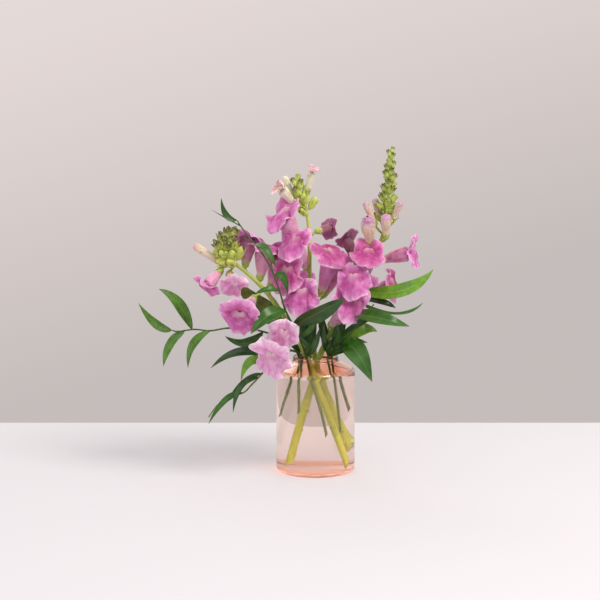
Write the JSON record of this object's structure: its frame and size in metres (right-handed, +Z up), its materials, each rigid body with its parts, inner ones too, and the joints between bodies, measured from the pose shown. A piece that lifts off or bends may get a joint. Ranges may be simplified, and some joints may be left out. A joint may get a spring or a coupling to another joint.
{
  "type": "snapdragon stems in a glass bottle vase",
  "caption": "Pink snapdragon flower stems with green ruscus foliage standing in a small round pink glass bottle vase filled with water.",
  "frame": {"origin": "centre of the vase's flat foot", "axes": "+Z up along the vase's axis, -Y towards the arrangement's front, +X to the right seen from the front"},
  "size_m": [0.278, 0.1098, 0.3173],
  "materials": {
    "pink_glass": "clear polished glass with a pale peach pink tint",
    "water": "clear still water",
    "snapdragon_stem": "matt fresh green stem with yellow green buds",
    "ruscus_stem": "wiry dark green stem",
    "ruscus_leaf": "glossy leathery green leaf",
    "pink_petal": "soft velvety lavender pink petal",
    "cream_petal": "soft pale cream and pink petal"
  },
  "bodies": {
    "root": {"vase": "pink_glass", "water": "water", "snapdragon_left_stem": "snapdragon_stem", "snapdragon_middle_stem": "snapdragon_stem", "snapdragon_right_stem": "snapdragon_stem", "ruscus_far_left_stem": "ruscus_stem", "ruscus_arching_stem": "ruscus_stem", "ruscus_low_left_stem": "ruscus_stem", "ruscus_right_stem": "ruscus_stem", "ruscus_low_right_stem": "ruscus_stem", "left_floret_1": "cream_petal", "left_floret_2": "pink_petal", "left_floret_3": "pink_petal", "left_floret_4": "pink_petal", "left_floret_5": "pink_petal", "left_floret_6": "pink_petal", "left_floret_7": "pink_petal", "left_floret_8": "pink_petal", "left_floret_9": "pink_petal", "middle_floret_1": "cream_petal", "middle_floret_2": "cream_petal", "middle_floret_3": "pink_petal", "middle_floret_4": "pink_petal", "middle_floret_5": "pink_petal", "middle_floret_6": "pink_petal", "middle_floret_7": "pink_petal", "middle_floret_8": "pink_petal", "middle_floret_9": "pink_petal", "middle_floret_10": "pink_petal", "right_floret_1": "pink_petal", "right_floret_2": "pink_petal", "right_floret_3": "pink_petal", "right_floret_4": "pink_petal", "right_floret_5": "pink_petal", "right_floret_6": "pink_petal", "right_floret_7": "pink_petal", "right_floret_8": "pink_petal", "right_floret_9": "pink_petal", "far_left_leaf_1": "ruscus_leaf", "far_left_leaf_2": "ruscus_leaf", "far_left_leaf_3": "ruscus_leaf", "far_left_leaf_4": "ruscus_leaf", "arching_leaf_1": "ruscus_leaf", "arching_leaf_2": "ruscus_leaf", "arching_leaf_3": "ruscus_leaf", "arching_leaf_4": "ruscus_leaf", "arching_leaf_5": "ruscus_leaf", "stem_leaf": "snapdragon_stem", "low_left_leaf_1": "ruscus_leaf", "low_left_leaf_2": "ruscus_leaf", "low_left_leaf_3": "ruscus_leaf", "far_left_leaf_5": "ruscus_leaf", "right_leaf_1": "ruscus_leaf", "right_leaf_2": "ruscus_leaf", "right_leaf_3": "ruscus_leaf", "right_leaf_4": "ruscus_leaf", "low_right_leaf_1": "ruscus_leaf", "low_right_leaf_2": "ruscus_leaf", "low_right_leaf_3": "ruscus_leaf"}
  },
  "joints": []
}
